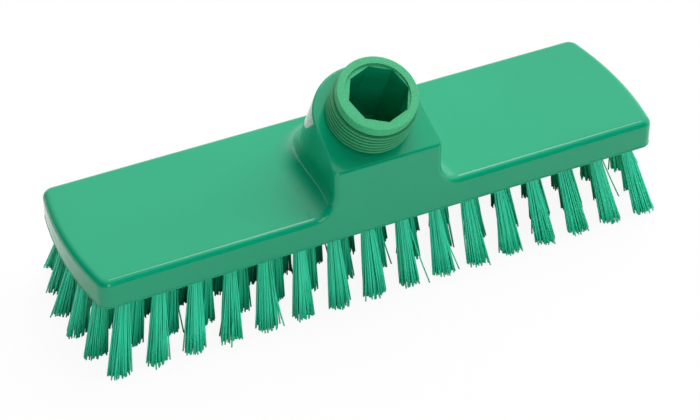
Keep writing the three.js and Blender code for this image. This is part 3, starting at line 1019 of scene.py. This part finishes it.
def anchor_tree(values):
    """A short flat wire with rounded edges on each vertex."""
    tree, node, given = new_tree("Tuft Anchors", values)
    end = node(COMBINE, x=given["Length"])
    line = node("GeometryNodeCurvePrimitiveLine", end=end)
    section = node(
        "GeometryNodeCurvePrimitiveQuadrilateral", width=given["Width"], height=given["Thickness"]
    )
    edge = node(MATH, "MULTIPLY", given["Thickness"], ANCHOR_EDGE)
    rounded = node(
        "GeometryNodeFilletCurve", {"mode": "POLY"}, curve=section, count=WIRE_EDGE_STEPS, radius=edge
    )
    upright = node("GeometryNodeSetCurveNormal", {"mode": "Z_UP"}, curve=line)
    wire = node("GeometryNodeCurveToMesh", curve=upright, profile_curve=rounded, fill_caps=True)
    half = node(VECTOR_MATH, "SCALE", end, -0.5)
    centred = node("GeometryNodeTransform", geometry=wire, translation=half)
    roots = node("GeometryNodeMeshToPoints", mesh=given["Geometry"])
    turn = node(COMBINE, z=given["Turn"])
    wires = node("GeometryNodeInstanceOnPoints", points=roots, instance=centred, rotation=turn)
    whole = node("GeometryNodeRealizeInstances", geometry=wires)
    finished = node("GeometryNodeSetMaterial", geometry=whole, material=given["Material"])
    node("NodeGroupOutput", geometry=finished)
    return tree


class SCRUBBRUSH_OT_tuft_anchors(bpy.types.Operator):
    """Make the flat wires that hold the folded tufts at the bottom of their holes"""

    bl_idname = "scrub_brush.tuft_anchors"
    bl_label = "Tuft Anchors"

    def execute(self, context):
        settings = context.scene.scrub_brush
        tufts = settings.tufts
        rows = tuft_roots(tufts, settings.block.underside)
        seat = -(tufts.hole_depth - ANCHOR_DROP)
        mesh = bpy.data.meshes.new("tuft_anchors")
        mesh.from_pydata([root + tuft_slope(tufts, root) * seat for row in rows for root in row], [], [])
        piece = new_object("tuft_anchors", mesh)
        values = {
            "Length": 2 * tufts.hole_radius + ANCHOR_BITE,
            "Width": tufts.anchor_width,
            "Thickness": tufts.anchor_thickness,
            "Turn": math.radians(90),
            "Material": drawn_stainless_wire(settings.colours),
        }
        grow(piece, anchor_tree(values), values)
        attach(piece, BODY)
        return {"FINISHED"}


# Stage


def white_room(surround):
    """World that is white overhead, at the back and on the right, and dark in front and on the left."""
    world = bpy.data.worlds.new("white_room")
    world.use_nodes = True
    world.node_tree.nodes.clear()
    node = partial(add_node, world.node_tree)
    path = node("ShaderNodeLightPath").outputs
    seen = node(MATH, "MAXIMUM", path["Is Glossy Ray"], path["Is Transmission Ray"])
    level = node("ShaderNodeMapRange", value=seen, to_min=surround, to_max=1)
    sky = node("ShaderNodeTexCoord").outputs["Generated"]
    direction = node("ShaderNodeSeparateXYZ", vector=sky).outputs
    shares = [
        node(
            "ShaderNodeMapRange", {"interpolation_type": "SMOOTHSTEP"},
            value=direction[axis], from_min=dark, from_max=white,
        )
        for axis, (dark, white) in (("Y", ROOM_FRONT), ("X", ROOM_LEFT))
    ]
    lit = node(MATH, "MULTIPLY", *shares)
    room_level = node(MATH, "MULTIPLY", level, lit)
    strength = node(MATH, "MAXIMUM", room_level, path["Is Camera Ray"])
    room = node("ShaderNodeBackground", color=(1, 1, 1, 1), strength=strength)
    node("ShaderNodeOutputWorld", surface=room)
    return world


def add_light(name, place, size, watts):
    """A softbox turned towards the object."""
    light = bpy.data.lights.new(name, "AREA")
    light.shape = "RECTANGLE"
    light.size, light.size_y = size
    light.energy = watts
    lamp = new_object(name, light)
    lamp.location = place
    lamp.rotation_euler = (Vector(LIGHT_AIM) - Vector(place)).to_track_quat("-Z", "Y").to_euler()


def add_camera(stage):
    """The camera that was fitted to the photograph's edges."""
    camera = bpy.data.cameras.new("camera")
    camera.sensor_width = SENSOR_WIDTH
    camera.lens = stage.lens
    camera.clip_start, camera.clip_end = CAMERA_CLIP
    a, e, r = stage.camera_turn, stage.camera_height, stage.camera_roll
    back = Vector((math.sin(a) * math.cos(e), -math.cos(a) * math.cos(e), math.sin(e)))
    right = Vector((math.cos(a), math.sin(a), 0))
    up = back.cross(right)
    across = math.cos(r) * right + math.sin(r) * up
    upwards = math.cos(r) * up - math.sin(r) * right
    viewer = new_object("camera", camera)
    turned = Matrix((across, upwards, back)).transposed().to_4x4()
    viewer.matrix_world = Matrix.Translation(stage.camera_place) @ turned
    bpy.context.scene.camera = viewer


class SCRUBBRUSH_OT_stage(bpy.types.Operator):
    """Set the pale floor, the soft light and the camera"""

    bl_idname = "scrub_brush.stage"
    bl_label = "Stage"

    def execute(self, context):
        settings = context.scene.scrub_brush
        stage = settings.stage
        context.scene.view_settings.view_transform = "Standard"
        mesh = bpy.data.meshes.new("floor")
        far = FLOOR_REACH
        corners = [(-far, -far, 0), (far, -far, 0), (far, far, 0), (-far, far, 0)]
        mesh.from_pydata(corners, [], [(0, 1, 2, 3)])
        mesh.materials.append(pale_floor(settings.colours))
        floor = new_object("floor", mesh)
        context.scene.world = white_room(stage.surround)
        add_light("softbox", stage.softbox_place, stage.softbox_size, stage.softbox)
        add_light("front_softbox", stage.fill_place, stage.fill_size, stage.fill)
        add_camera(stage)
        return {"FINISHED"}


class SCRUBBRUSH_PT_brush_head(bpy.types.Panel):
    """Sizes, colours and the steps that build the brush head"""

    bl_idname = "SCRUBBRUSH_PT_brush_head"
    bl_label = "Scrub Brush Head"
    bl_space_type = "VIEW_3D"
    bl_region_type = "UI"
    bl_category = "Scrub Brush"

    def draw(self, context):
        settings = context.scene.scrub_brush
        for operator in OPERATORS:
            self.layout.operator(operator.bl_idname)
        for label in ("block", "socket", "tufts", "colours", "stage"):
            box = self.layout.box()
            box.label(text=label.capitalize())
            group = getattr(settings, label)
            for key in group.__annotations__:
                box.prop(group, key)


OPERATORS = (
    SCRUBBRUSH_OT_moulded_block,
    SCRUBBRUSH_OT_collar_thread,
    SCRUBBRUSH_OT_tuft_rows,
    SCRUBBRUSH_OT_tuft_anchors,
    SCRUBBRUSH_OT_stage,
)
GROUPS = (BlockSizes, SocketSizes, TuftSizes, FinishColours, StageSizes, BrushSettings)
CLASSES = (*GROUPS, *OPERATORS, SCRUBBRUSH_PT_brush_head)


def register():
    for item in CLASSES:
        bpy.utils.register_class(item)
    bpy.types.Scene.scrub_brush = PointerProperty(type=BrushSettings)


def unregister():
    del bpy.types.Scene.scrub_brush
    for item in reversed(CLASSES):
        bpy.utils.unregister_class(item)


def main():
    register()
    bpy.ops.scrub_brush.moulded_block()
    bpy.ops.scrub_brush.collar_thread()
    bpy.ops.scrub_brush.tuft_rows()
    bpy.ops.scrub_brush.tuft_anchors()
    bpy.ops.scrub_brush.stage()


if __name__ == "__main__":
    main()
